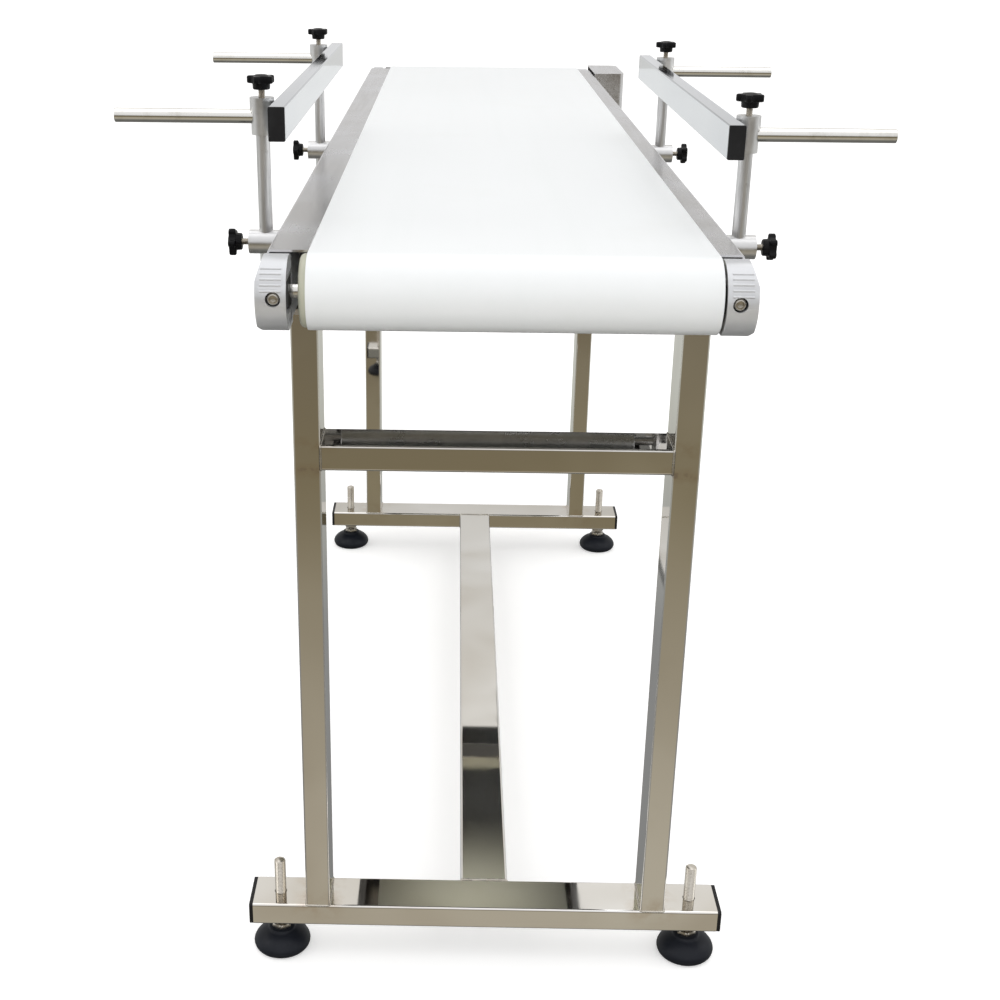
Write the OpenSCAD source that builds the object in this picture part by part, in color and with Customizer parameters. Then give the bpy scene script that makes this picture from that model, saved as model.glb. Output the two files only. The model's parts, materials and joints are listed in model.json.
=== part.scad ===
// Belt conveyor section on a tubular stand, with two adjustable side guide rails.
// X runs across the belt, Y along it from the tail end to the drive end, and Z is up.
// The origin is on the floor under the middle of the bed. All sizes are in millimetres.

/* [Bed] */
// Length of the folded bed sheet
bed_l = 1540; // [1500:10:1700]
// Width over the side webs
bed_w = 390; // [390:1:400]
// Height of the bed's top face above the floor
bed_z = 776; // [770:1:900]
// Depth of the side webs
web_h = 62; // [62:1:64]
// Thickness of the bed sheet
sheet_t = 2; // [1.5:0.5:2]
// Width of the lips along the bottom of the webs
lip_w = 12; // [8:1:12]

/* [Belt and rollers] */
// Belt width
belt_w = 333; // [250:1:333]
// Belt thickness
belt_t = 2; // [1:0.5:2]
// How far the belt has tracked to the right of centre
belt_shift = 6.5; // [0:0.5:6.5]
// Radius of the tail and drive rollers
roller_r = 30; // [29:1:30]
// Length of the roller faces
roller_l = 340; // [300:1:340]
// How far the tail roller sits to the right of centre
tail_shift = 4; // [0:0.5:4]
// Distance of the roller axes beyond the ends of the bed
axis_out = 16; // [16:1:18]
// Radius of the return rollers
return_r = 19; // [16:1:22]

/* [Stand] */
// Width of the stand tube, its narrow face
tube_w = 25; // [20:1:25]
// Depth of the stand tube, its wide face
tube_d = 50; // [50:1:60]
// Wall of the stand tube
tube_wall = 1.5; // [1.5:0.5:3]
// Distance from the middle of the bed to the legs' outer faces
leg_x = 187; // [187:1:187]
// Length of the foot beams without caps
beam_l = 486; // [480:2:560]
// Y of the leg frame at the tail end
leg_y1 = -665; // [-680:5:-640]
// Y of the leg frame at the drive end
leg_y2 = 430; // [400:5:450]
// Height of the foot beams' underside above the floor
foot_h = 43.5; // [43.5:0.5:60]
// Height of the cross braces' top face
brace_z = 578.5; // [400:0.5:640]
// Distance from the middle of the bed to the levelling studs
foot_x = 216; // [215:1:217]

/* [Guide rails] */
// Width of the guide rail tube
rail_w = 14; // [12:1:14]
// Height of the guide rail tube
rail_h = 28; // [24:1:28]
// Length of each guide rail
rail_l = 650; // [600:10:700]
// Y of the first pair of guide posts
post_y1 = -667; // [-667:1:-665]
// Distance between the two pairs of guide posts
post_pitch = 550; // [500:10:560]
// Distance from the middle of the bed to the posts
post_x = 208; // [208:1:209]
// Height of the cross rods on the left side
rod_z_left = 869; // [856:1:880]
// Height of the cross rods on the right side
rod_z_right = 858; // [856:1:880]
// Radius of the posts and the cross rods
rod_r = 6; // [5:0.5:6]
// Distance from the middle of the bed to the rods' outer ends
rod_end_x = 335; // [320:1:360]

/* [Drive] */
// Y of the motor shaft
motor_y = 725; // [715:1:730]
// Height of the motor shaft
motor_z = 640; // [630:1:645]
// Radius of both drive pulleys at the belt
pulley_r = 22; // [18:1:22]
// Width of the drive cover
cover_w = 50; // [48:1:60]

/* [Hidden] */
$fn = 64;

// Tiny gap of a running or sliding fit, on the radius
fit = 0.05;
bed_hw = bed_w / 2;
bed_hl = bed_l / 2;
web_in = bed_hw - sheet_t;
web_bot = bed_z - web_h;
bend_r = 3;
axis_y = bed_hl + axis_out;
axis_z = bed_z - roller_r;
strand_bot = axis_z - roller_r - belt_t;

// End brackets: a rounded nose in front of the bed and a tongue inside the web
nose_r = 31;
nose_y = 18;
nose_in = 175;
nose_out = bed_hw + 5;
nose_wall = 3.5;
nose_z = axis_z - 1;
nose_bot = nose_z - 29;
tongue_l = 60;
tongue_h = 50;
tongue_screws = [20, 45];
screw_x = 185.5;
takeup_l = 22;
takeup_h = 26;
tail_shaft_r = 6;
tail_shaft_hl = 181;
tension_r = 3;
tension_head_r = 5.25;
tension_l = 52;
head_seat = 44;

drive_shaft_r = 10;
bearing_r = 21;
bearing_w = 12;
bearing_x = 178;
tail_bearing_r = 14;
tail_bearing_w = 8;
roller_wall = 4;
roller_hub = 20;
pulley_x = 206;
pulley_w = 20;
drive_belt_w = 15;
drive_belt_t = 3;
motor_shaft_r = 7;
gear_size = 90;
gear_bolt = 30;
gear_l = 42;
motor_l = 72;
fan_l = 18;
plate_t = 5;
plate_w = 100;
plate_z1 = bed_z - 38;
plate_screws = [motor_y - 40, motor_y + 35];
cover_t = 1.5;
cover_y0 = motor_y - 55;
cover_y1 = bed_hl + 49;
cover_z0 = motor_z - 40;
cover_z1 = bed_z + 4;
cover_corner = 10;
ear_w = 12;
ear_zs = [bed_z - 42, bed_z - 16];
box_l = 46;
box_h = 50;
box_t = 34;
box_y = motor_y - 46;
box_x = bed_hw - gear_l - 16;
cable_r = 4;
cable_z = web_bot - 9;
cable_x = box_x - box_l / 2;
cable_y = box_y - box_t / 2;
cable_bend = 20;

leg_in = leg_x - tube_w;
leg_top = strand_bot - 8;
bracket_t = 5;
bracket_l = 88;
bracket_top = bed_z - 28;
leg_bolt_z = bracket_top - 16;
leg_bolt_dy = 32;
beam_top = foot_h + tube_w;
stud_r = 6;
stud_top = foot_h + 64;
m8_r = 4;
m6_r = 3;
tie_r = 11;
tie_ys = [-500, -180, 180, 500];
tie_z = axis_z - 1;
return_ys = [-330, 60];
return_z = strand_bot - return_r;
return_shaft_r = 5;
hanger_t = 3;
hanger_w = 36;
hanger_h = 66;
hanger_screw_z = web_bot + 28;
hanger_screw_dy = 11;

clamp_r = 10.5;
clamp_in = bed_hw;
clamp_out = bed_hw + 28;
clamp_z = bed_z - 15;
post_bot = clamp_z - clamp_r - 9;
post_ys = [post_y1, post_y1 + post_pitch];
head_up = 16;
head_down = 15;
post_gap = 7.5;
knob_r = 12.3;
knob_hub = 5;
knob_t = 12.5;
knob_gap = 6.5;
rail_out = post_x - clamp_r - 0.5;
rail_mid_y = (post_ys[0] + post_ys[1]) / 2;

SIDES = [-1, 1];
ENDS = [-1, 1];
leg_ys = [leg_y1, leg_y2];

// ---------- shared shapes ----------

// A cylinder along X from x0 to x1
module x_rod(r, x0, x1) {
    translate([x0, 0, 0]) rotate([0, 90, 0]) cylinder(r = r, h = x1 - x0);
}

// A cylinder along Y from y0 to y1
module y_rod(r, y0, y1) {
    translate([0, y1, 0]) rotate([90, 0, 0]) cylinder(r = r, h = y1 - y0);
}

// A flat shape with rounded corners
module rounded_rect(w, h, r) {
    translate([-w / 2 + r, -h / 2]) square([w - 2 * r, h]);
    translate([-w / 2, -h / 2 + r]) square([w, h - 2 * r]);
    for (x = [-w / 2 + r, w / 2 - r], y = [-h / 2 + r, h / 2 - r])
        translate([x, y]) circle(r = r);
}

// Outline of a rectangular tube's wall
module tube_outline(w, d, wall, r) {
    difference() {
        rounded_rect(w, d, r);
        rounded_rect(w - 2 * wall, d - 2 * wall, max(r - wall, 0.5));
    }
}

// A track-shaped disc round two centres on the local Y axis
module track(r, length) {
    circle(r = r);
    translate([0, length]) circle(r = r);
    translate([-r, 0]) square([2 * r, length]);
}

// Mirror a shape of the right side (+X) to the side s
module on_side(s) {
    if (s > 0) children();
    else mirror([1, 0, 0]) children();
}

// Mirror a shape of the drive end (+Y) to the end e
module on_end(e) {
    if (e > 0) children();
    else mirror([0, 1, 0]) children();
}

// Hex bolt whose head faces +X, seated at x = 0, with its shank along -X
module hex_bolt(r, length) {
    x_rod(r, -length, 0);
    rotate([0, 90, 0]) cylinder(r = r * 1.85, h = r * 1.3, $fn = 6);
}

// Button-head screw with a hex socket, head towards +X and seated at x = 0
module button_screw(r, length) {
    difference() {
        union() {
            x_rod(r, -length, 0);
            rotate([0, 90, 0]) cylinder(r1 = r * 1.75, r2 = r * 1.1, h = r * 1.1);
        }
        translate([r * 0.5, 0, 0]) rotate([0, 90, 0]) cylinder(r = r * 0.75, h = r, $fn = 6);
    }
}

// Hex nut with its near face at x = 0 and its body along -X
module hex_nut(r) {
    difference() {
        translate([-r * 1.6, 0, 0]) rotate([0, 90, 0]) cylinder(r = r * 1.85, h = r * 1.6, $fn = 6);
        x_rod(r + fit, -r * 2, 1);
    }
}

// ---------- bed ----------

module bed_outline() {
    difference() {
        union() {
            translate([-bed_hw, web_bot]) square([bed_w, web_h - bend_r]);
            translate([-bed_hw + bend_r, web_bot]) square([bed_w - 2 * bend_r, web_h]);
            for (s = SIDES)
                translate([s * (bed_hw - bend_r), bed_z - bend_r]) circle(r = bend_r);
        }
        translate([-web_in, web_bot + sheet_t]) square([2 * web_in, web_h - 2 * sheet_t]);
        translate([-bed_hw + lip_w, web_bot - 1]) square([bed_w - 2 * lip_w, sheet_t + 2]);
    }
}

// Holes in the side webs: [side, y, z, radius]
function web_holes() = concat(
    [for (s = SIDES, y = leg_ys, d = ENDS) [s, y + d * leg_bolt_dy, leg_bolt_z, m8_r + 0.3]],
    [for (s = SIDES, y = tie_ys) [s, y, tie_z, m8_r + 0.3]],
    [for (s = SIDES, y = post_ys) [s, y, clamp_z, m8_r + 0.3]],
    [for (s = SIDES, e = ENDS, d = tongue_screws) [s, e * (bed_hl - d), nose_z, m6_r + 0.2]],
    [for (s = SIDES, y = return_ys, d = ENDS)
        [s, y + d * hanger_screw_dy, hanger_screw_z, m6_r + 0.2]],
    [for (y = plate_screws) [1, y, plate_z1 - 10, m6_r + 0.2]],
    [for (z = ear_zs) [1, cover_y0 - ear_w / 2, z, m6_r + 0.2]]
);

module slider_bed() {
    color("lightsteelblue") difference() {
        rotate([90, 0, 0]) linear_extrude(height = bed_l, center = true) bed_outline();
        for (h = web_holes())
            translate([0, h[1], h[2]]) x_rod(h[3], h[0] * bed_hw - 4, h[0] * bed_hw + 4);
        // the lips are notched round the leg brackets
        for (s = SIDES, y = leg_ys) on_side(s)
            translate([bed_hw - lip_w - 1, y - bracket_l / 2 - 1, web_bot - 1])
                cube([lip_w - sheet_t + 1, bracket_l + 2, sheet_t + 2]);
    }
}

// Round bars that hold the webs apart, tapped at both ends
module bed_cross_ties() {
    color("silver") for (y = tie_ys) translate([0, y, tie_z]) difference() {
        x_rod(tie_r, -web_in, web_in);
        x_rod(tie_r - 3, -web_in + 30, web_in - 30);
        for (s = SIDES) x_rod(m8_r + fit, s * web_in - 24, s * web_in + 24);
    }
}

// ---------- end brackets ----------

// Side view of a bracket's nose, grown by g, with y measured outwards from the bed's end
module nose_outline(g) {
    intersection() {
        union() {
            translate([nose_y, nose_z]) circle(r = nose_r + g);
            translate([0, nose_bot - 10]) square([nose_y, nose_z - nose_bot + 35 + g]);
        }
        translate([0, nose_bot - g]) square([nose_y + nose_r + 20, 2 * nose_r + 20]);
    }
}

// Extrude a side view (y outwards, z up) from x0 to x1 at the drive end
module from_side(x0, x1) {
    translate([x0, bed_hl, 0]) rotate([90, 0, 90]) linear_extrude(height = x1 - x0) children();
}

// Front view limits of the nose: its outer corners are cut back at the top and the bottom
module nose_front(x_out) {
    translate([0, bed_hl + 100, 0]) rotate([90, 0, 0]) linear_extrude(height = 130)
        polygon([
            [nose_in - 1, nose_bot - 1], [x_out - 4, nose_bot - 1], [x_out, nose_bot + 5],
            [x_out, axis_z + 14], [x_out - 5, bed_z + 1], [nose_in - 1, bed_z + 1]
        ]);
}

// Nose and tongue, solid, with the holes of the two screws through the web
module bracket_blank(x_out) {
    difference() {
        union() {
            intersection() {
                from_side(nose_in, x_out) nose_outline(0);
                nose_front(x_out);
            }
            translate([nose_in, bed_hl - tongue_l, nose_z - tongue_h / 2])
                cube([web_in - nose_in, tongue_l + 1, tongue_h]);
        }
        for (d = tongue_screws)
            translate([0, bed_hl - d, nose_z]) x_rod(m6_r + fit, nose_in - 1, nose_out);
    }
}

// Side view of the hollow in the tail bracket's nose, less its guide ribs and ladder ribs
module nose_hollow() {
    difference() {
        intersection() {
            nose_outline(-nose_wall);
            translate([4, 0]) square([100, 2000]);
        }
        for (s = SIDES)
            translate([-5, axis_z + s * (takeup_h / 2 + 1.6) - 1.5]) square([60, 3]);
        for (y = [12, 24, 34], s = SIDES)
            translate([y, axis_z + s * (takeup_h / 2 + 20) - 20]) square([2, 40]);
    }
}

// Side view of the grip ribs: round beads seated on the nose
module nose_beads() {
    for (a = [14:9:50])
        translate([nose_y + (nose_r - 0.4) * cos(a), nose_z + (nose_r - 0.4) * sin(a)])
            circle(r = 1.1);
}

// Tail bracket: hollow nose with a guide channel for the take-up block
module tail_bracket() {
    channel_y = axis_out + takeup_l / 2 + 1;
    difference() {
        union() {
            bracket_blank(nose_out);
            from_side(nose_in + 4, nose_out - 4) nose_beads();
        }
        from_side(nose_in - 1, nose_out - nose_wall) nose_hollow();
        translate([nose_in - 1, bed_hl - 2, axis_z - takeup_h / 2 - 0.1])
            cube([web_in - nose_in, channel_y + 2, takeup_h + 0.2]);
        translate([screw_x, 0, axis_z]) {
            y_rod(tension_r + 0.3, bed_hl - 22, bed_hl + 80);
            y_rod(tension_head_r + 0.85, bed_hl + head_seat, bed_hl + 80);
        }
    }
}

// Drive bracket: closed nose with a seat for the drive shaft's bearing
module drive_bracket() {
    difference() {
        bracket_blank(bed_hw);
        translate([0, axis_y, axis_z]) {
            x_rod(bearing_r, bearing_x, bearing_x + bearing_w);
            x_rod(drive_shaft_r + 2, nose_in - 1, nose_out + 1);
            x_rod(bearing_r - 3, nose_in - 1, bearing_x + 1);
        }
    }
}

module end_brackets() {
    color("gainsboro") for (s = SIDES) on_side(s) {
        on_end(-1) tail_bracket();
        drive_bracket();
    }
}

// ---------- belt, rollers and take-up ----------

module conveyor_belt() {
    color("white") translate([belt_shift - belt_w / 2, -axis_y, axis_z])
        rotate([90, 0, 90]) linear_extrude(height = belt_w) rotate(-90) difference() {
            track(roller_r + belt_t, 2 * axis_y);
            track(roller_r + fit, 2 * axis_y);
        }
}

// Roller shell with end hubs, along X and centred; bore is the radius of its through hole
module hub_roller(r, length, wall, hub, bore, edge) {
    rotate([0, 90, 0]) difference() {
        rotate_extrude() {
            translate([0, -length / 2]) square([r - edge, length]);
            translate([0, -length / 2 + edge]) square([r, length - 2 * edge]);
            for (e = ENDS) translate([r - edge, e * (length / 2 - edge)]) circle(r = edge);
        }
        cylinder(r = r - wall, h = length - 2 * hub, center = true);
        cylinder(r = bore, h = length + 2, center = true);
    }
}

module bearing_ring(inner, outer, x0, w) {
    difference() {
        x_rod(outer, x0, x0 + w);
        x_rod(inner, x0 - 1, x0 + w + 1);
    }
}

module tail_roller() {
    color("ivory") translate([tail_shift, -axis_y, axis_z]) difference() {
        hub_roller(roller_r, roller_l, roller_wall, roller_hub, tail_shaft_r + 2, 4);
        for (s = SIDES) on_side(s)
            x_rod(tail_bearing_r, roller_l / 2 - tail_bearing_w, roller_l / 2 + 1);
    }
}

module tail_roller_bearings() {
    color("silver") translate([tail_shift, -axis_y, axis_z]) for (s = SIDES) on_side(s)
        bearing_ring(tail_shaft_r + fit, tail_bearing_r, roller_l / 2 - tail_bearing_w, tail_bearing_w);
}

module tail_shaft() {
    color("silver") translate([0, -axis_y, axis_z]) x_rod(tail_shaft_r, -tail_shaft_hl, tail_shaft_hl);
}

// Blocks that carry the shaft's ends and ride on the tension screws
module takeup_blocks() {
    color("dimgray") for (s = SIDES) on_side(s) difference() {
        translate([nose_in + 0.5, -axis_y - takeup_l / 2, axis_z - takeup_h / 2])
            cube([web_in - nose_in - 1.5, takeup_l, takeup_h]);
        translate([0, -axis_y, axis_z]) x_rod(tail_shaft_r, nose_in - 1, tail_shaft_hl);
        translate([screw_x, 0, axis_z]) y_rod(tension_r + fit, -axis_y - 20, -axis_y + 20);
    }
}

module tension_screw(s) {
    color("silver") translate([s * screw_x, -bed_hl - head_seat, axis_z])
        rotate([0, 0, -90]) button_screw(tension_r, tension_l);
}

module drive_roller() {
    color("dimgray") translate([0, axis_y, axis_z])
        hub_roller(roller_r, roller_l, roller_wall, roller_hub, drive_shaft_r, 2);
}

module drive_shaft() {
    color("silver") translate([0, axis_y, axis_z])
        x_rod(drive_shaft_r, -bearing_x - bearing_w, pulley_x + pulley_w + 4);
}

module drive_bearings() {
    color("silver") translate([0, axis_y, axis_z]) for (s = SIDES) on_side(s)
        bearing_ring(drive_shaft_r + fit, bearing_r, bearing_x, bearing_w);
}

module return_roller(y) {
    color("lightgray") translate([0, y, return_z])
        hub_roller(return_r, roller_l, 2, 14, return_shaft_r + fit, 1);
}

module return_roller_shafts() {
    color("silver") for (y = return_ys) translate([0, y, return_z])
        x_rod(return_shaft_r, -bed_hw - hanger_t - 4, bed_hw + hanger_t + 4);
}

// Plates on the outside of the webs that carry the return rollers' shafts
module return_roller_hangers() {
    color("silver") for (s = SIDES, y = return_ys) on_side(s) difference() {
        translate([bed_hw, y - hanger_w / 2, return_z - 12]) cube([hanger_t, hanger_w, hanger_h]);
        translate([0, y, return_z]) x_rod(return_shaft_r, bed_hw - 1, bed_hw + hanger_t + 1);
        for (d = ENDS) translate([0, y + d * hanger_screw_dy, hanger_screw_z])
            x_rod(m6_r + 0.2, bed_hw - 1, bed_hw + hanger_t + 1);
    }
}

// ---------- drive ----------

module pulley(shaft_r) {
    difference() {
        union() {
            x_rod(pulley_r, pulley_x, pulley_x + pulley_w);
            for (x = [pulley_x, pulley_x + pulley_w - 2]) x_rod(pulley_r + 4, x, x + 2);
        }
        x_rod(shaft_r, pulley_x - 1, pulley_x + pulley_w + 1);
    }
}

module driven_pulley() {
    color("silver") translate([0, axis_y, axis_z]) pulley(drive_shaft_r);
}

module motor_pulley() {
    color("silver") translate([0, motor_y, motor_z]) pulley(motor_shaft_r);
}

module drive_belt() {
    span = sqrt(pow(axis_y - motor_y, 2) + pow(axis_z - motor_z, 2));
    lean = atan2(axis_y - motor_y, axis_z - motor_z);
    color("dimgray") translate([pulley_x + (pulley_w - drive_belt_w) / 2, motor_y, motor_z])
        rotate([90, 0, 90]) linear_extrude(height = drive_belt_w) rotate(-lean) difference() {
            track(pulley_r + drive_belt_t, span);
            track(pulley_r + fit, span);
        }
}

module motor_shaft() {
    color("silver") translate([0, motor_y, motor_z])
        x_rod(motor_shaft_r, bed_hw - 20, pulley_x + pulley_w + 2);
}

// The four fixing holes of the gearbox, from x0 to x1
module gear_holes(r, x0, x1) {
    for (a = ENDS, b = ENDS)
        translate([0, motor_y + a * gear_bolt, motor_z + b * gear_bolt]) x_rod(r, x0, x1);
}

// Vertical plate on the outside of the right web that carries the gearmotor
module motor_plate() {
    color("silver") difference() {
        translate([bed_hw, motor_y - plate_w / 2, cover_z0 + 4])
            cube([plate_t, plate_w, plate_z1 - cover_z0 - 4]);
        translate([0, motor_y, motor_z]) x_rod(17, bed_hw - 1, bed_hw + plate_t + 1);
        for (y = plate_screws) translate([0, y, plate_z1 - 10])
            x_rod(m6_r + 0.2, bed_hw - 1, bed_hw + plate_t + 1);
        gear_holes(m6_r + 0.2, bed_hw - 1, bed_hw + plate_t + 1);
    }
}

module gearbox() {
    color("slategray") difference() {
        union() {
            translate([bed_hw - gear_l, motor_y, motor_z]) rotate([90, 0, 90])
                linear_extrude(height = gear_l) rounded_rect(gear_size, gear_size, 8);
            translate([0, motor_y, motor_z]) x_rod(16.5, bed_hw - 1, bed_hw + plate_t);
        }
        translate([0, motor_y, motor_z]) x_rod(motor_shaft_r + fit, bed_hw - 20, bed_hw + 20);
        gear_holes(m6_r + fit, bed_hw - 20, bed_hw + 20);
    }
}

module motor_body() {
    x1 = bed_hw - gear_l;
    color("slategray") translate([0, motor_y, motor_z]) {
        x_rod(43, x1 - motor_l, x1);
        // flat pad for the terminal box
        translate([x1 - 56, -46, -20]) cube([34, 12, 40]);
        for (i = [0:11]) rotate([i * 30, 0, 0])
            translate([x1 - motor_l + 6, -1.5, 42]) cube([motor_l - 12, 3, 3]);
    }
}

module fan_cover() {
    x1 = bed_hw - gear_l - motor_l;
    color("dimgray") translate([0, motor_y, motor_z]) difference() {
        x_rod(45, x1 - fan_l, x1);
        x_rod(42, x1 - fan_l + 2, x1 + 1);
        for (i = [0:7]) rotate([i * 45, 0, 0]) translate([x1 - fan_l - 1, -2, 14]) cube([4, 4, 22]);
    }
}

module terminal_box() {
    color("dimgray") difference() {
        translate([box_x - box_l, box_y - box_t, motor_z - box_h / 2]) cube([box_l, box_t, box_h]);
        translate([cable_x, cable_y, motor_z]) cylinder(r = cable_r, h = box_h);
    }
}

// Cable from the terminal box up and across to a clip under the left web, with its gland nut
module power_cable() {
    box_top = motor_z + box_h / 2;
    color("dimgray") {
        translate([cable_x, cable_y, motor_z]) cylinder(r = cable_r, h = cable_z - cable_bend - motor_z);
        translate([cable_x, cable_y, box_top]) cylinder(r = 2 * cable_r, h = 10);
        translate([cable_x - cable_bend, cable_y, cable_z - cable_bend]) rotate([90, 0, 0])
            rotate_extrude(angle = 90) translate([cable_bend, 0]) circle(r = cable_r);
        translate([0, cable_y, cable_z]) x_rod(cable_r, -bed_hw + 20, cable_x - cable_bend);
        translate([-bed_hw + 2, cable_y - 10, cable_z - 8]) cube([24, 20, web_bot + 8 - cable_z]);
    }
}

// Plan view of the drive cover, grown by g, with rounded outer corners
module cover_plan(g) {
    y0 = cover_y0 - g;
    y1 = cover_y1 + g;
    x1 = bed_hw + cover_w + g;
    r = cover_corner + g;
    translate([bed_hw - 5, y0]) square([cover_w + 5 + g - r, y1 - y0]);
    translate([bed_hw - 5, y0 + r]) square([cover_w + 5 + g, y1 - y0 - 2 * r]);
    for (y = [y0 + r, y1 - r]) translate([x1 - r, y]) circle(r = r);
}

// Sheet box over the drive belt, open towards the bed, with an ear for two screws
module drive_cover() {
    color("lightsteelblue") difference() {
        union() {
            translate([0, 0, cover_z0]) linear_extrude(height = cover_z1 - cover_z0) cover_plan(0);
            translate([bed_hw, cover_y0 - ear_w, ear_zs[0] - 8])
                cube([cover_t, ear_w + 1, ear_zs[1] - ear_zs[0] + 16]);
        }
        translate([0, 0, cover_z0 + cover_t])
            linear_extrude(height = cover_z1 - cover_z0 - 2 * cover_t) cover_plan(-cover_t);
        translate([bed_hw - 10, cover_y0 - 20, cover_z0 - 1])
            cube([10, cover_y1 - cover_y0 + 40, cover_z1 - cover_z0 + 2]);
        for (z = ear_zs) translate([0, cover_y0 - ear_w / 2, z])
            x_rod(m6_r + 0.2, bed_hw - 1, bed_hw + 5);
    }
}

// ---------- stand ----------

// Stand tube of length l along Z, with its narrow face across X
module stand_tube(l) {
    linear_extrude(height = l) tube_outline(tube_w, tube_d, tube_wall, 2.5);
}

module legs() {
    color("silver") for (s = SIDES, y = leg_ys)
        translate([s * (leg_x - tube_w / 2), y, beam_top]) stand_tube(leg_top - beam_top);
}

// Angle plates welded on the legs' tops and bolted to the webs
module leg_brackets() {
    color("silver") for (s = SIDES, y = leg_ys) on_side(s) difference() {
        union() {
            translate([leg_in, y - bracket_l / 2, leg_top]) cube([web_in - leg_in, bracket_l, bracket_t]);
            translate([leg_x, y - bracket_l / 2, leg_top])
                cube([web_in - leg_x, bracket_l, bracket_top - leg_top]);
        }
        for (d = ENDS) translate([0, y + d * leg_bolt_dy, leg_bolt_z])
            x_rod(m8_r + 0.3, leg_x - 1, web_in + 1);
    }
}

module cross_braces() {
    color("silver") for (y = leg_ys)
        translate([-leg_in, y, brace_z - tube_w / 2]) rotate([0, 90, 0]) stand_tube(2 * leg_in);
}

module foot_beams() {
    color("silver") for (y = leg_ys) translate([0, y, foot_h + tube_w / 2]) difference() {
        translate([-beam_l / 2, 0, 0]) rotate([0, 90, 0]) stand_tube(beam_l);
        for (s = SIDES) translate([s * foot_x, 0, 0]) cylinder(r = stud_r + 0.5, h = 60, center = true);
    }
}

module base_stretcher() {
    color("silver") translate([0, leg_y2 - tube_d / 2, foot_h + tube_w / 2]) rotate([90, 90, 0])
        stand_tube(leg_y2 - leg_y1 - tube_d);
}

module foot_beam_caps() {
    color("dimgray") for (s = SIDES, y = leg_ys) on_side(s)
        translate([beam_l / 2, y, foot_h + tube_w / 2]) rotate([0, 90, 0]) {
            linear_extrude(height = 4) rounded_rect(tube_w, tube_d, 3);
            translate([0, 0, -12]) linear_extrude(height = 13)
                rounded_rect(tube_w - 2 * tube_wall, tube_d - 2 * tube_wall, 1);
        }
}

// ---------- levelling feet ----------

module foot(s, y) {
    color("dimgray") translate([s * foot_x, y, 0]) {
        cylinder(r = 30, h = 7);
        translate([0, 0, 7]) cylinder(r1 = 30, r2 = 14, h = 17);
        cylinder(r = 11, h = 30, $fn = 6);
        cylinder(r = stud_r, h = stud_top);
    }
}

module foot_lock_nuts() {
    color("silver") for (s = SIDES, y = leg_ys) translate([s * foot_x, y, foot_h - 10]) difference() {
        cylinder(r = 11, h = 10, $fn = 6);
        translate([0, 0, -1]) cylinder(r = stud_r + fit, h = 12);
    }
}

// ---------- fasteners ----------

module hex_bolts() {
    color("silver") for (s = SIDES) on_side(s) {
        for (y = leg_ys, d = ENDS) translate([0, y + d * leg_bolt_dy, leg_bolt_z]) {
            translate([bed_hw, 0, 0]) hex_bolt(m8_r, 16);
            translate([leg_x, 0, 0]) hex_nut(m8_r);
        }
        for (y = tie_ys) translate([bed_hw, y, tie_z]) hex_bolt(m8_r, 20);
    }
}

module button_screws() {
    color("silver") {
        for (s = SIDES) on_side(s) {
            for (e = ENDS, d = tongue_screws)
                translate([bed_hw, e * (bed_hl - d), nose_z]) button_screw(m6_r, 14);
            for (y = return_ys, d = ENDS)
                translate([bed_hw + hanger_t, y + d * hanger_screw_dy, hanger_screw_z])
                    button_screw(m6_r, 12);
            // the clamp screws go in from the inside of the web
            for (y = post_ys) translate([web_in, y, clamp_z]) mirror([1, 0, 0]) button_screw(m8_r, 7);
        }
        for (y = plate_screws)
            translate([bed_hw + plate_t, y, plate_z1 - 10]) button_screw(m6_r, plate_t + sheet_t);
        for (a = ENDS, b = ENDS)
            translate([bed_hw + plate_t, motor_y + a * gear_bolt, motor_z + b * gear_bolt])
                button_screw(m6_r, 18);
        for (z = ear_zs)
            translate([bed_hw + cover_t, cover_y0 - ear_w / 2, z]) button_screw(m6_r, 10);
    }
}

// ---------- side guides ----------

// Horizontal clamp blocks on the webs, each bored for a post and tapped at both ends
module lower_clamps() {
    color("gainsboro") for (s = SIDES, y = post_ys) on_side(s) translate([0, y, clamp_z]) difference() {
        x_rod(clamp_r, clamp_in, clamp_out);
        translate([post_x, 0, -clamp_r - 1]) cylinder(r = rod_r + fit, h = 2 * clamp_r + 2);
        x_rod(m6_r + fit, post_x, clamp_out + 1);
        x_rod(m8_r + fit, clamp_in - 1, clamp_in + 6);
    }
}

module guide_posts(s, rod_z) {
    color("silver") for (y = post_ys) translate([s * post_x, y, post_bot])
        cylinder(r = rod_r, h = rod_z - post_gap - post_bot);
}

// Upright clamp blocks on top of the posts, bored for the cross rods
module upper_clamps(s, rod_z) {
    color("gainsboro") for (y = post_ys) translate([s * post_x, y, rod_z]) difference() {
        union() {
            translate([0, 0, -head_down]) cylinder(r = clamp_r - 0.8, h = head_down + 5);
            translate([0, 0, 4]) cylinder(r = clamp_r, h = head_up - 4);
        }
        translate([0, 0, -head_down - 1]) cylinder(r = rod_r, h = head_down + 1 - post_gap);
        x_rod(rod_r + fit, -clamp_r - 1, clamp_r + 1);
        cylinder(r = m6_r + fit, h = head_up + 1);
    }
}

module cross_rods(s, rod_z) {
    color("silver") for (y = post_ys) on_side(s) translate([0, y, rod_z])
        x_rod(rod_r, rail_out, rod_end_x);
}

module guide_rail(s, rod_z) {
    color("lightgray") on_side(s)
        translate([rail_out - rail_w / 2, rail_mid_y + rail_l / 2, rod_z]) rotate([90, 0, 0])
            linear_extrude(height = rail_l) tube_outline(rail_w, rail_h, 1.5, 1.2);
}

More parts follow.
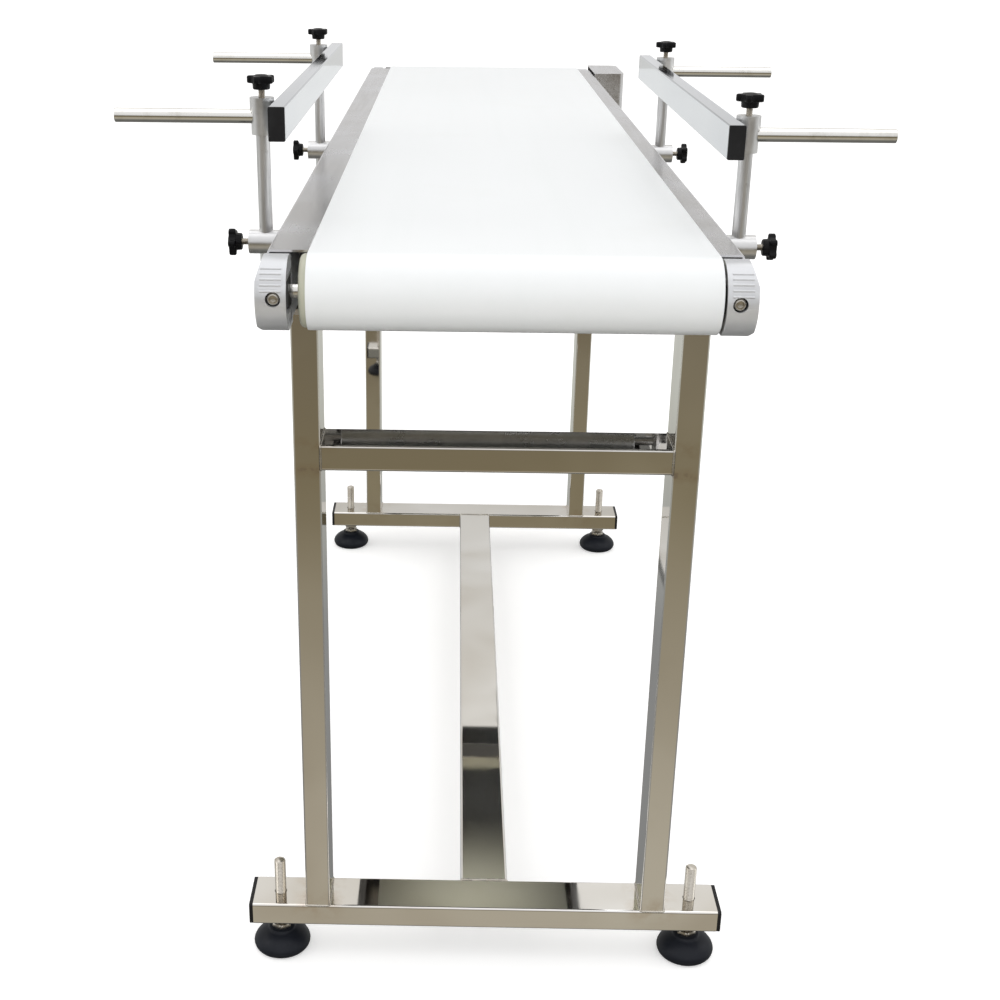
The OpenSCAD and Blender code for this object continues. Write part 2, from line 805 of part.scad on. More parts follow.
module rail_caps(s, rod_z) {
    color("dimgray") on_side(s) for (e = ENDS)
        translate([rail_out - rail_w / 2, rail_mid_y + e * rail_l / 2, rod_z]) rotate([-90 * e, 0, 0]) {
            linear_extrude(height = 2.5) rounded_rect(rail_w, rail_h, 1.2);
            translate([0, 0, -12]) linear_extrude(height = 13)
                rounded_rect(rail_w - 3, rail_h - 3, 0.5);
        }
}

// Star knob with its stud along +Z; z = 0 is the block's face and the stud reaches depth below it
module star_knob(depth) {
    color("dimgray") {
        translate([0, 0, -depth]) cylinder(r = m6_r, h = depth + knob_gap + 1);
        translate([0, 0, knob_gap]) cylinder(r = 7.5, h = knob_t - 1);
        translate([0, 0, knob_gap + knob_hub]) {
            cylinder(r = 9.5, h = knob_t - knob_hub - 1);
            for (i = [0:4]) rotate(i * 72)
                translate([knob_r - 3.4, 0, 0]) cylinder(r = 3.4, h = knob_t - knob_hub);
        }
    }
}

// Knob on a lower clamp, which holds the post
module post_knob(s, y) {
    on_side(s) translate([clamp_out, y, clamp_z]) rotate([0, 90, 0])
        star_knob(clamp_out - post_x - rod_r - 0.1);
}

// Knob on an upper clamp, which holds the cross rod
module rod_knob(s, y, rod_z) {
    translate([s * post_x, y, rod_z + head_up]) star_knob(head_up - rod_r - 0.1);
}

slider_bed();
bed_cross_ties();
end_brackets();
conveyor_belt();
tail_roller();
tail_roller_bearings();
tail_shaft();
takeup_blocks();
tension_screw(-1);  // tension_screw_left
tension_screw(1);  // tension_screw_right
drive_roller();
drive_shaft();
drive_bearings();
driven_pulley();
drive_belt();
motor_pulley();
motor_shaft();
gearbox();
motor_body();
fan_cover();
terminal_box();
power_cable();
motor_plate();
drive_cover();
return_roller(return_ys[0]);  // return_roller_near
return_roller(return_ys[1]);  // return_roller_far
return_roller_shafts();
return_roller_hangers();
legs();
leg_brackets();
cross_braces();
foot_beams();
base_stretcher();
foot_beam_caps();
foot_lock_nuts();
foot(-1, leg_y1);  // foot_near_left
foot(1, leg_y1);  // foot_near_right
foot(-1, leg_y2);  // foot_far_left
foot(1, leg_y2);  // foot_far_right
hex_bolts();
button_screws();
lower_clamps();
guide_posts(-1, rod_z_left);  // guide_posts_left
guide_posts(1, rod_z_right);  // guide_posts_right
upper_clamps(-1, rod_z_left);  // upper_clamps_left
upper_clamps(1, rod_z_right);  // upper_clamps_right
cross_rods(-1, rod_z_left);  // cross_rods_left
cross_rods(1, rod_z_right);  // cross_rods_right
guide_rail(-1, rod_z_left);  // guide_rail_left
guide_rail(1, rod_z_right);  // guide_rail_right
rail_caps(-1, rod_z_left);  // rail_caps_left
rail_caps(1, rod_z_right);  // rail_caps_right
post_knob(-1, post_ys[0]);  // knob_post_left_near
post_knob(-1, post_ys[1]);  // knob_post_left_far
post_knob(1, post_ys[0]);  // knob_post_right_near
post_knob(1, post_ys[1]);  // knob_post_right_far
rod_knob(-1, post_ys[0], rod_z_left);  // knob_rod_left_near
rod_knob(-1, post_ys[1], rod_z_left);  // knob_rod_left_far
rod_knob(1, post_ys[0], rod_z_right);  // knob_rod_right_near
rod_knob(1, post_ys[1], rod_z_right);  // knob_rod_right_far
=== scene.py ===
"""Looks of the belt conveyor section: finished meshes, materials, studio light and camera.

All lengths are in metres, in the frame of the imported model: X across the belt, Y along it, Z up.
"""
import json
from math import copysign, cos, inf, pi, radians, sin, sqrt, tau

import bmesh
import bpy
from mathutils import Matrix, Vector

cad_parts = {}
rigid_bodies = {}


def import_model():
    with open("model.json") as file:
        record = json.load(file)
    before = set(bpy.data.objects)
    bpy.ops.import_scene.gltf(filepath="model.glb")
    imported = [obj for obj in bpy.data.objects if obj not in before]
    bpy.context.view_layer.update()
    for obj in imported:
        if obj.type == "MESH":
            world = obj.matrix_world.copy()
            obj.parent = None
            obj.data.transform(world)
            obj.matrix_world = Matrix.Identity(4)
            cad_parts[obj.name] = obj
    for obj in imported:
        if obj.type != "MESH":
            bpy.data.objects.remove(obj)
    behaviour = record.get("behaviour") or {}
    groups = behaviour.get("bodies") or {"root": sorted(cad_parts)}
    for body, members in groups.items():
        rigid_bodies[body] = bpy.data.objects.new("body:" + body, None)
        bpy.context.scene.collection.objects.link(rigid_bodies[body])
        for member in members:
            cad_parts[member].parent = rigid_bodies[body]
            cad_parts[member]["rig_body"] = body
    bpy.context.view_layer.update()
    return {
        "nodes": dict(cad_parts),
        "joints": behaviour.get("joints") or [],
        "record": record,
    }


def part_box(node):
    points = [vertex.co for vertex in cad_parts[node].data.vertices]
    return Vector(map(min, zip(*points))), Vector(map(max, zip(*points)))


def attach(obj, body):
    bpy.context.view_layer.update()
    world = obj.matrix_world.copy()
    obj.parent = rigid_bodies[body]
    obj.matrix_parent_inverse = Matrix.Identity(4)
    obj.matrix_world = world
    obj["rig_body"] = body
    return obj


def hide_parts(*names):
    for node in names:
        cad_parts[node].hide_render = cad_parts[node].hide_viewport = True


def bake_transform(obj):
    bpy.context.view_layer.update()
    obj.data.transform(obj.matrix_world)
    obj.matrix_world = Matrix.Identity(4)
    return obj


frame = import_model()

MM = 0.001
NODE_BODY = {node: obj["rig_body"] for node, obj in frame["nodes"].items()}
NODE_SLOT = {row["node"]: row["material_slot"] for row in frame["record"]["subparts"]}
JOINTS = {joint["name"]: joint for joint in frame["joints"]}


# ---------------------------------------------------------------- node graphs

class Graph:
    """The node tree of a material or world, with one short call for each kind of node used here."""

    def __init__(self, tree, coordinates):
        self.tree = tree
        self.place = self.add("TexCoord").outputs[coordinates]

    def add(self, kind, **settings):
        node = self.tree.nodes.new("ShaderNode" + kind)
        for key, value in settings.items():
            setattr(node, key, value)
        return node

    def put(self, socket, value):
        """Link a node's output to a socket, or set the socket to a plain value or colour."""
        if isinstance(value, bpy.types.NodeSocket):
            self.tree.links.new(value, socket)
        elif isinstance(value, (tuple, list)) and len(value) == 3 and socket.type == "RGBA":
            socket.default_value = (*value, 1.0)
        else:
            socket.default_value = value

    def noise(self, scale, detail=3.0, stretch=(1, 1, 1), roughness=0.55, distortion=0.0):
        mapping = self.add("Mapping")
        self.put(mapping.inputs["Vector"], self.place)
        mapping.inputs["Scale"].default_value = stretch
        node = self.add("TexNoise")
        self.put(node.inputs["Vector"], mapping.outputs["Vector"])
        for key, value in (("Scale", scale), ("Detail", detail), ("Roughness", roughness),
                           ("Distortion", distortion)):
            node.inputs[key].default_value = value
        return node.outputs["Fac"]

    def remap(self, value, low, high, out_low=0.0, out_high=1.0, curve="LINEAR"):
        node = self.add("MapRange", interpolation_type=curve)
        for key, item in zip(("Value", "From Min", "From Max", "To Min", "To Max"),
                             (value, low, high, out_low, out_high)):
            self.put(node.inputs[key], item)
        return node.outputs["Result"]

    def math(self, operation, a, b=0.0):
        node = self.add("Math", operation=operation)
        self.put(node.inputs[0], a)
        self.put(node.inputs[1], b)
        return node.outputs[0]

    def mix(self, amount, a, b):
        """Mix of two colours."""
        node = self.add("Mix", data_type="RGBA")
        for socket, item in zip((0, 6, 7), (amount, a, b)):
            self.put(node.inputs[socket], item)
        return node.outputs[2]

    def mix_values(self, amount, a, b):
        """Mix of two plain numbers."""
        node = self.add("Mix", data_type="FLOAT")
        for socket, item in zip((0, 2, 3), (amount, a, b)):
            self.put(node.inputs[socket], item)
        return node.outputs[0]

    def ramp(self, value, stops):
        """Colours at heights from -1 to 1, with even changes between them."""
        node = self.add("ValToRGB")
        self.put(node.inputs["Fac"], self.remap(value, -1.0, 1.0))
        elements = node.color_ramp.elements
        while len(elements) < len(stops):
            elements.new(0.5)
        for element, (height, colour) in zip(elements, stops):
            element.position = (height + 1) / 2
            element.color = (*colour, 1.0)
        return node.outputs["Color"]

    def axis(self, name):
        node = self.add("SeparateXYZ")
        self.put(node.inputs[0], self.place)
        return node.outputs[name]

    def bump(self, height, distance, strength=1.0):
        node = self.add("Bump")
        node.inputs["Strength"].default_value = strength
        node.inputs["Distance"].default_value = distance
        self.put(node.inputs["Height"], height)
        return node.outputs["Normal"]


class Surface(Graph):
    """A new material, whose patterns lie in the object's own space."""

    def __init__(self, name):
        self.material = bpy.data.materials.new(name)
        self.material.use_nodes = True
        super().__init__(self.material.node_tree, "Object")

    def finish(self, **inputs):
        """Set the shader's inputs, and give the finished material."""
        shader = self.tree.nodes["Principled BSDF"]
        for key, value in inputs.items():
            self.put(shader.inputs[key.replace("_", " ")], value)
        return self.material


# ---------------------------------------------------------------- materials

def stainless(name, tone, shade, rough, grain, along, cloud, wave):
    """Bright stainless steel: cloudy tone, fine brush lines along one axis and slightly wavy faces."""
    g = Surface(name)
    fineness = 24.0
    stretch = tuple(1.0 if axis == along else fineness for axis in "XYZ")
    lines = g.noise(6.0, 1.0, stretch, 0.5)
    clouds = g.noise(cloud, 2.0)
    smears = g.noise(13.0, 2.0, roughness=0.5)
    colour = g.mix(g.remap(clouds, 0.35, 0.65), shade, tone)
    colour = g.mix(g.remap(smears, 0.50, 0.75, 0.0, 0.35), colour, shade)
    roughness = g.math("ADD", g.remap(clouds, 0.3, 0.7, rough * 0.75, rough * 1.25),
                       g.remap(lines, 0.3, 0.7, -grain, grain))
    normal = g.bump(g.noise(3.5, 1.0), wave)
    return g.finish(Base_Color=colour, Metallic=1.0, Roughness=roughness, Normal=normal)


def welded_tube():
    """Polished stand tube with straw and violet heat tint where the tubes are welded."""
    g = Surface("stainless_tube")
    clouds = g.noise(4.0, 2.0, distortion=0.5)
    smears = g.noise(16.0, 2.0, roughness=0.5)
    colour = g.mix(g.remap(clouds, 0.38, 0.62), (0.74, 0.71, 0.66), (0.90, 0.89, 0.87))
    colour = g.mix(g.remap(smears, 0.60, 0.80, 0.0, 0.20), colour, (0.66, 0.62, 0.55))
    brace_low, brace_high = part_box("cross_braces")
    leg_middle = (brace_high.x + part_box("legs")[1].x) / 2
    off_leg = g.math("ABSOLUTE", g.math("SUBTRACT", g.math("ABSOLUTE", g.axis("X")), leg_middle))
    at_leg = g.remap(off_leg, 30 * MM, 12 * MM)
    tint = 0.0
    for level, reach in ((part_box("foot_beams")[1].z, 20), (brace_low.z, 10), (brace_high.z, 10)):
        away = g.math("ABSOLUTE", g.math("SUBTRACT", g.axis("Z"), level))
        near = g.math("MULTIPLY", g.remap(away, reach * MM, 2 * MM), at_leg)
        tint = g.math("MAXIMUM", tint, near)
    patchy = g.math("MULTIPLY", tint, g.remap(g.noise(55.0, 3.0), 0.40, 0.66))
    colour = g.mix(g.math("MULTIPLY", patchy, 0.50), colour, (0.62, 0.50, 0.38))
    colour = g.mix(g.remap(patchy, 0.70, 1.0, 0.0, 0.4), colour, (0.42, 0.37, 0.40))
    roughness = g.math("ADD", g.remap(clouds, 0.3, 0.7, 0.015, 0.035),
                       g.remap(smears, 0.5, 0.8, 0.0, 0.05))
    roughness = g.math("ADD", roughness, g.math("MULTIPLY", patchy, 0.12))
    normal = g.bump(g.noise(5.0, 1.0), 0.00025)
    return g.finish(Base_Color=colour, Metallic=1.0, Roughness=roughness, Normal=normal)


def cast(name, tone, shade, rough, metallic=0.0, pits=0.5, coat=0.0):
    """Painted or blasted casting with fine grit, soft tone changes and slightly rubbed high spots."""
    g = Surface(name)
    grit = g.noise(900.0, 2.0)
    clouds = g.noise(22.0, 3.0)
    rubbed = g.add("NewGeometry").outputs["Pointiness"]
    colour = g.mix(g.remap(clouds, 0.35, 0.65), shade, tone)
    rubbed_tone = tuple(min(1.0, c * 1.25) for c in tone)
    grit_tone = tuple(c * 0.6 for c in shade)
    colour = g.mix(g.remap(rubbed, 0.52, 0.60, 0.0, 0.35), colour, rubbed_tone)
    colour = g.mix(g.remap(grit, 0.55, 0.80, 0.0, 0.10), colour, grit_tone)
    normal = g.bump(grit, 0.00008, pits)
    return g.finish(Base_Color=colour, Metallic=metallic, Normal=normal, Coat_Weight=coat,
                    Roughness=g.remap(clouds, 0.3, 0.7, rough * 0.85, rough * 1.2))


def turned(name, tone, shade, rough, lines=0.35):
    """Turned metal: bright tone with soft stains and fine tool marks."""
    g = Surface(name)
    marks = g.noise(700.0, 2.0)
    stains = g.noise(28.0, 4.0, roughness=0.6)
    colour = g.mix(g.remap(stains, 0.35, 0.68), shade, tone)
    normal = g.bump(marks, 0.00003, lines)
    return g.finish(Base_Color=colour, Metallic=1.0, Normal=normal,
                    Roughness=g.remap(stains, 0.3, 0.7, rough * 0.7, rough * 1.4))


def moulded(name, tone, dust, rough, grain=350.0, depth=0.00006, shine=0.22):
    """Moulded plastic or rubber: fine spark-eroded grain with a little dust in the hollows."""
    g = Surface(name)
    texture = g.noise(grain, 3.0, roughness=0.6)
    patches = g.noise(18.0, 4.0, roughness=0.6)
    colour = g.mix(g.remap(patches, 0.45, 0.75, 0.0, 0.5), tone, dust)
    colour = g.mix(g.remap(texture, 0.55, 0.8, 0.0, 0.25), colour, dust)
    normal = g.bump(texture, depth, 0.6)
    return g.finish(Base_Color=colour, Normal=normal, Specular_IOR_Level=shine,
                    Roughness=g.remap(patches, 0.3, 0.7, rough * 0.8, rough * 1.2))


def belt_surface():
    """Smooth white belt cover with faint run marks along the belt and a very light weave print."""
    g = Surface("belt_white")
    run = g.noise(1.4, 3.0, (30, 1, 30), 0.6)
    smudge = g.noise(6.0, 5.0, roughness=0.6)
    weave = g.add("TexWave", wave_type="BANDS", bands_direction="DIAGONAL")
    g.put(weave.inputs["Vector"], g.place)
    weave.inputs["Scale"].default_value = 260.0
    colour = g.mix(g.remap(run, 0.45, 0.75, 0.0, 0.30), (0.90, 0.92, 0.93), (0.86, 0.89, 0.89))
    colour = g.mix(g.remap(smudge, 0.58, 0.80, 0.0, 0.25), colour, (0.82, 0.83, 0.80))
    normal = g.bump(weave.outputs["Fac"], 0.00001, 0.25)
    return g.finish(Base_Color=colour, Roughness=g.remap(smudge, 0.3, 0.7, 0.36, 0.46), Normal=normal,
                    Specular_IOR_Level=0.4)


def rod_finish():
    """Bright drawn bar with a very fine grain and a few rub marks."""
    g = Surface("polished_steel")
    rub = g.noise(60.0, 5.0, roughness=0.7)
    fine = g.noise(500.0, 2.0)
    colour = g.mix(g.remap(rub, 0.50, 0.80), (0.84, 0.83, 0.80), (0.68, 0.66, 0.61))
    return g.finish(Base_Color=colour, Metallic=1.0, Normal=g.bump(fine, 0.00001, 0.2),
                    Roughness=g.remap(rub, 0.3, 0.75, 0.07, 0.16))


def drawn_finish():
    """Satin bar with soft streaks along its length and a few small knocks."""
    g = Surface("drawn_steel")
    streaks = g.noise(5.0, 3.0, (60, 60, 3), 0.6)
    knocks = g.noise(160.0, 2.0)
    colour = g.mix(g.remap(streaks, 0.35, 0.65), (0.50, 0.50, 0.50), (0.84, 0.84, 0.84))
    colour = g.mix(g.remap(knocks, 0.68, 0.76, 0.0, 0.4), colour, (0.45, 0.44, 0.43))
    return g.finish(Base_Color=colour, Metallic=1.0, Normal=g.bump(streaks, 0.00006, 0.6),
                    Roughness=g.remap(streaks, 0.3, 0.7, 0.44, 0.32))


MATERIALS = {
    "stainless_sheet": stainless("stainless_sheet", (0.81, 0.81, 0.83), (0.66, 0.64, 0.63), rough=0.24,
                                 grain=0.03, along="Y", cloud=9.0, wave=0.0004),
    "drawn_steel": drawn_finish(),
    "stainless_tube": welded_tube(),
    "polished_steel": rod_finish(),
    "turned_steel": turned("turned_steel", (0.68, 0.68, 0.68), (0.50, 0.50, 0.51), rough=0.28),
    "zinc_fasteners": turned("zinc_fasteners", (0.74, 0.71, 0.65), (0.52, 0.48, 0.42), rough=0.26),
    "cast_grey": cast("cast_grey", (0.68, 0.69, 0.71), (0.62, 0.63, 0.65), rough=0.36, metallic=0.5),
    "dark_casting": cast("dark_casting", (0.10, 0.10, 0.10), (0.06, 0.06, 0.06), rough=0.50),
    "belt_white": belt_surface(),
    "roller_cream": moulded("roller_cream", (0.50, 0.50, 0.40), (0.43, 0.43, 0.34), rough=0.34,
                            grain=120.0, depth=0.00002, shine=0.5),
    "roller_rubber": moulded("roller_rubber", (0.03, 0.03, 0.03), (0.08, 0.08, 0.08), rough=0.7),
    "roller_zinc": turned("roller_zinc", (0.70, 0.71, 0.72), (0.55, 0.57, 0.59), rough=0.30),
    "pulley_aluminium": turned("pulley_aluminium", (0.76, 0.76, 0.77), (0.60, 0.60, 0.61), rough=0.30),
    "black_rubber": moulded("black_rubber", (0.018, 0.018, 0.018), (0.06, 0.06, 0.06), rough=0.62,
                            grain=240.0),
    "motor_grey": cast("motor_grey", (0.16, 0.19, 0.22), (0.12, 0.145, 0.17), rough=0.42, pits=0.8,
                       coat=0.15),
    "black_plastic": moulded("black_plastic", (0.012, 0.012, 0.013), (0.035, 0.036, 0.038), rough=0.42),
    "foot_black": moulded("foot_black", (0.012, 0.014, 0.020), (0.032, 0.036, 0.045), rough=0.44,
                          grain=260.0, depth=0.00005, shine=0.20),
    "clamp_aluminium": turned("clamp_aluminium", (0.86, 0.86, 0.86), (0.66, 0.66, 0.66), rough=0.33,
                              lines=1.2),
    "rail_aluminium": stainless("rail_aluminium", (0.60, 0.62, 0.63), (0.55, 0.57, 0.59), rough=0.08,
                                grain=0.015, along="Y", cloud=6.0, wave=0.0001),
    "knob_black": moulded("knob_black", (0.005, 0.005, 0.006), (0.014, 0.014, 0.015), rough=0.26,
                          grain=420.0, depth=0.00003, shine=0.14),
}


# ---------------------------------------------------------------- mesh helpers

def add_piece(name, mesh, slot, body, node=None):
    """Link a finished mesh as a piece that rides on a body and may stand for a CAD node."""
    mesh.materials.clear()
    mesh.materials.append(MATERIALS[slot])
    piece = bpy.data.objects.new(name, mesh)
    bpy.context.scene.collection.objects.link(piece)
    if body:
        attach(piece, body)
    if node:
        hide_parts(node)
    return piece


def make_mesh(name, vertices, faces, matrix=None, sharp=40.0):
    """Mesh with welded vertices, outward faces and smooth shading up to an angle in degrees."""
    mesh = bpy.data.meshes.new(name)
    mesh.from_pydata([Vector(v) for v in vertices], [], faces)
    if matrix is not None:
        mesh.transform(matrix)
    work = bmesh.new()
    work.from_mesh(mesh)
    bmesh.ops.remove_doubles(work, verts=work.verts, dist=0.0001 * MM)
    bmesh.ops.recalc_face_normals(work, faces=work.faces)
    work.to_mesh(mesh)
    work.free()
    mesh.shade_smooth()
    mesh.set_sharp_from_angle(angle=radians(sharp))
    return mesh


def stack(rings, sides):
    """Vertices and faces of closed rings along Z. A ring is (z, radius) or (z, function of the angle)."""
    vertices, faces = [], []
    for z, radius in rings:
        for i in range(sides):
            a = tau * i / sides
            r = radius(a) if callable(radius) else radius
            vertices.append((r * cos(a), r * sin(a), z))
    for k in range(len(rings) - 1):
        for i in range(sides):
            j = (i + 1) % sides
            low, high = k * sides, (k + 1) * sides
            faces.append((low + i, low + j, high + j, high + i))
    faces.append(tuple(reversed(range(sides))))
    faces.append(tuple(range((len(rings) - 1) * sides, len(rings) * sides)))
    return vertices, faces


def standing(origin, axis):
    """Matrix that puts local Z along axis, with its zero at origin."""
    turn = Vector(axis).to_track_quat("Z", "Y").to_matrix().to_4x4()
    return Matrix.Translation(Vector(origin)) @ turn


def scaled(rings):
    """Rings given in millimetres, in metres."""
    def in_metres(radius):
        return (lambda a: radius(a) * MM) if callable(radius) else radius * MM
    return [(z * MM, in_metres(radius)) for z, radius in rings]


def hexagon(across_flats, limit=inf):
    """Radius of a hexagon at an angle, held under a limit, which cuts its corners as a chamfer does."""
    def radius(a):
        turn = (a + pi / 6) % (pi / 3) - pi / 6
        return min(across_flats / 2 / cos(turn), limit)
    return radius


def thread(radius, pitch, bottom, top):
    """Rings of a threaded rod whose top end is chamfered."""
    depth = 0.55 * pitch
    chamfer_slope = 1.2
    rings_per_turn = 8
    rings = []
    count = int((top - bottom) / pitch * rings_per_turn)
    for k in range(count + 1):
        z = bottom + (top - bottom) * k / count

        def at(a, z=z):
            phase = (z / pitch - a / tau) % 1.0
            flank = radius - depth * abs(2 * phase - 1)
            return min(flank, radius - depth + chamfer_slope * max(0.0, top - z))
        rings.append((z, at))
    return rings


def refine(node, width):
    """A finished copy of a CAD node: its faces joined again and its hard edges rounded."""
    same_place, same_plane = 0.002 * MM, radians(0.6)
    hard_angle, smooth_angle = radians(32.0), radians(48.0)
    work = bmesh.new()
    work.from_mesh(frame["nodes"][node].data)
    bmesh.ops.remove_doubles(work, verts=work.verts, dist=same_place)
    bmesh.ops.dissolve_limit(work, angle_limit=same_plane, verts=work.verts, edges=work.edges)
    hard = [e for e in work.edges if len(e.link_faces) == 2 and e.calc_face_angle(0) > hard_angle]
    bmesh.ops.bevel(work, geom=hard, offset=width, segments=2, profile=0.6, affect="EDGES",
                    clamp_overlap=True)
    bmesh.ops.recalc_face_normals(work, faces=work.faces)
    mesh = bpy.data.meshes.new(node + "_finished")
    work.to_mesh(mesh)
    work.free()
    mesh.shade_smooth()
    mesh.set_sharp_from_angle(angle=smooth_angle)
    piece = add_piece(node + "_finished", mesh, NODE_SLOT[node], NODE_BODY[node], node)
    modifier = piece.modifiers.new("flat_faces", "WEIGHTED_NORMAL")
    modifier.keep_sharp = True
    return piece


def ease_sides(piece):
    """Take a hair off the outer sides of a sliding piece, so that it clears the face it slides along."""
    hair = 0.1 * MM
    side = max(vertex.co.x for vertex in piece.data.vertices)
    for vertex in piece.data.vertices:
        if abs(vertex.co.x) > side - hair:
            vertex.co.x -= copysign(hair, vertex.co.x)


def sweep(name, count, profile):
    """Mesh of a closed profile carried round a closed path, where profile(i) gives its points at step i."""
    vertices, faces = [], []
    size = len(profile(0))
    for i in range(count):
        vertices += profile(i)
    for i in range(count):
        j = (i + 1) % count
        for k in range(size):
            m = (k + 1) % size
            faces.append((i * size + k, j * size + k, j * size + m, i * size + m))
    return make_mesh(name, vertices, faces)


# ---------------------------------------------------------------- belt

def build_belt():
    """Endless belt with rounded edges."""
    low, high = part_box("conveyor_belt")
    roller_low, roller_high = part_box("drive_roller")
    clearance = 0.05 * MM
    inner = (roller_high.z - roller_low.z) / 2 + clearance
    outer = (high.z - low.z) / 2
    axis_z = (high.z + low.z) / 2
    axis_y = high.y - outer
    arc_steps, run_steps = 56, 120
    corner_steps, face_steps = 4, 10
    path = []
    for end in (1, -1):
        for i in range(run_steps):
            y = end * axis_y * (2 * i / run_steps - 1)
            path.append((y, axis_z, 0.0, end))
        for i in range(arc_steps):
            a = pi / 2 - pi * i / arc_steps
            path.append((end * axis_y, axis_z, end * cos(a), end * sin(a)))
    edge = 0.7 * MM
    half = (high.x - low.x) / 2
    middle = (high.x + low.x) / 2
    section = []
    for side in (1, -1):
        for corner in (0, 1):
            quarter = corner - 1 if side > 0 else corner + 1
            x = side * (half - edge)
            t = outer - edge if (side > 0) == (corner > 0) else inner + edge
            for i in range(corner_steps + 1):
                a = pi / 2 * (quarter + i / corner_steps)
                section.append((middle + x + edge * cos(a), t + edge * sin(a)))
        for i in range(1, face_steps):
            x = side * (half - edge) * (1 - 2 * i / face_steps)
            section.append((middle + x, outer if side > 0 else inner))

    def at(i):
        y, z, ny, nz = path[i]
        return [(x, y + ny * t, z + nz * t) for x, t in section]

    piece = add_piece("belt", sweep("belt", len(path), at), "belt_white", None, "conveyor_belt")
    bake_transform(piece)


# ---------------------------------------------------------------- star knobs

def lobes(base, height):
    """Five rounded lobes on a round core, as a radius at an angle."""
    def radius(a):
        wave = cos(5 * a)
        return base + height * (max(0.0, wave) ** 0.55 + 0.25 * min(0.0, wave))
    return radius


def build_knob(joint):
    """Star knob with a domed middle and a stepped hub, and its threaded steel screw."""
    node = joint["child"]
    place = standing(joint["pos_m"], joint["axis"])
    bare_screw, hub_height, height = 6.5, 5.0, 12.5
    foot, hub, top = bare_screw, bare_screw + hub_height, bare_screw + height
    # the knob's outline from its foot to the middle of its top, in mm
    rings = [(foot, 3.2), (foot, 6.6), (foot + 0.3, 7.1), (foot + 1.0, 7.4), (hub - 0.4, 7.6),
             (hub, lobes(7.9, 0.8)), (hub + 0.15, lobes(8.6, 2.6)), (hub + 0.6, lobes(8.9, 3.2)),
             (hub + 1.2, lobes(9.0, 3.3)), (top - 2.2, lobes(9.0, 3.3)), (top - 1.5, lobes(8.8, 3.1)),
             (top - 1.15, lobes(8.3, 2.7)), (top - 1.1, lobes(7.3, 1.2)), (top - 1.25, 6.6),
             (top - 0.9, 6.0), (top - 0.35, 4.6), (top - 0.08, 2.8), (top, 0.9)]
    head = make_mesh(node + "_head", *stack(scaled(rings), 120), place, 55.0)
    add_piece(node + "_head", head, "knob_black", NODE_BODY[node], node)
    low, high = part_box(node)
    axis = Vector(joint["axis"])
    corner = low if sum(axis) > 0 else high
    depth = abs((Vector(corner) - Vector(joint["pos_m"])).dot(axis)) / MM
    screw_radius, screw_pitch = 2.95, 1.0
    rings = thread(screw_radius, screw_pitch, -depth, foot + 1.0)
    screw = make_mesh(node + "_screw", *stack(scaled(rings), 32), place)
    add_piece(node + "_screw", screw, "zinc_fasteners", NODE_BODY[node])


# ---------------------------------------------------------------- levelling feet

FOOT_NODES = ("foot_near_left", "foot_near_right", "foot_far_left", "foot_far_right")


def foot_middle(node):
    """Point on the floor under a foot's stud."""
    low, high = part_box(node)
    return Vector(((low.x + high.x) / 2, (low.y + high.y) / 2, 0))


def build_foot(node):
    """Domed foot with a rounded rim, its hex collar and its threaded stud."""
    collar_bottom, collar_height = 25.0, 5.0
    stud_radius, stud_pitch, stud_bottom = 6.0, 1.75, 29.0
    middle = foot_middle(node)
    body = NODE_BODY[node]
    # the pad's outline from its underside to the collar, in mm
    rings = [(0, 22.0), (0, 24.5), (0.5, 26.2), (1.8, 27.8), (3.6, 29.1), (5.6, 29.8), (7.6, 30.0),
             (9.8, 29.6), (12.0, 28.6), (14.2, 27.0), (16.4, 24.9), (18.4, 22.3), (20.2, 19.3),
             (21.6, 16.4), (22.4, 14.6), (23.4, 14.0), (24.6, 13.6), (collar_bottom, 13.0),
             (collar_bottom, stud_radius)]
    pad = make_mesh(node + "_pad", *stack(scaled(rings), 96), Matrix.Translation(middle), 60.0)
    add_piece(node + "_pad", pad, "foot_black", body, node)
    collar = hex_nut(node + "_collar", middle, collar_bottom, collar_height)
    add_piece(node + "_collar", collar, "zinc_fasteners", body)
    rings = thread(stud_radius, stud_pitch, stud_bottom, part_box(node)[1].z / MM)
    stud = make_mesh(node + "_stud", *stack(scaled(rings), 40), Matrix.Translation(middle))
    add_piece(node + "_stud", stud, "zinc_fasteners", body)


def hex_nut(name, middle, bottom, height):
    """Solid hex nut of 19 mm across flats, with both its ends chamfered."""
    flats, corner, chamfer = 19.0, 11.0, 1.3
    top = bottom + height
    outline = ((bottom, 8.9), (bottom, 9.4), (bottom + chamfer, corner), (top - chamfer, corner),
               (top, 9.4), (top, 8.9))
    rings = [(z, hexagon(flats, limit)) for z, limit in outline]
    return make_mesh(name, *stack(scaled(rings), 96), Matrix.Translation(middle), 25.0)


def build_lock_nuts():
    """One nut on each stud. The first of them stands for the node that holds all four."""
    low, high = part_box("foot_lock_nuts")
    for node in FOOT_NODES:
        name = node.replace("foot_", "lock_nut_")
        nut = hex_nut(name, foot_middle(node), low.z / MM, (high.z - low.z) / MM)
        add_piece(name, nut, "zinc_fasteners", "root", "foot_lock_nuts" if node == FOOT_NODES[0] else None)


# ---------------------------------------------------------------- tension screws

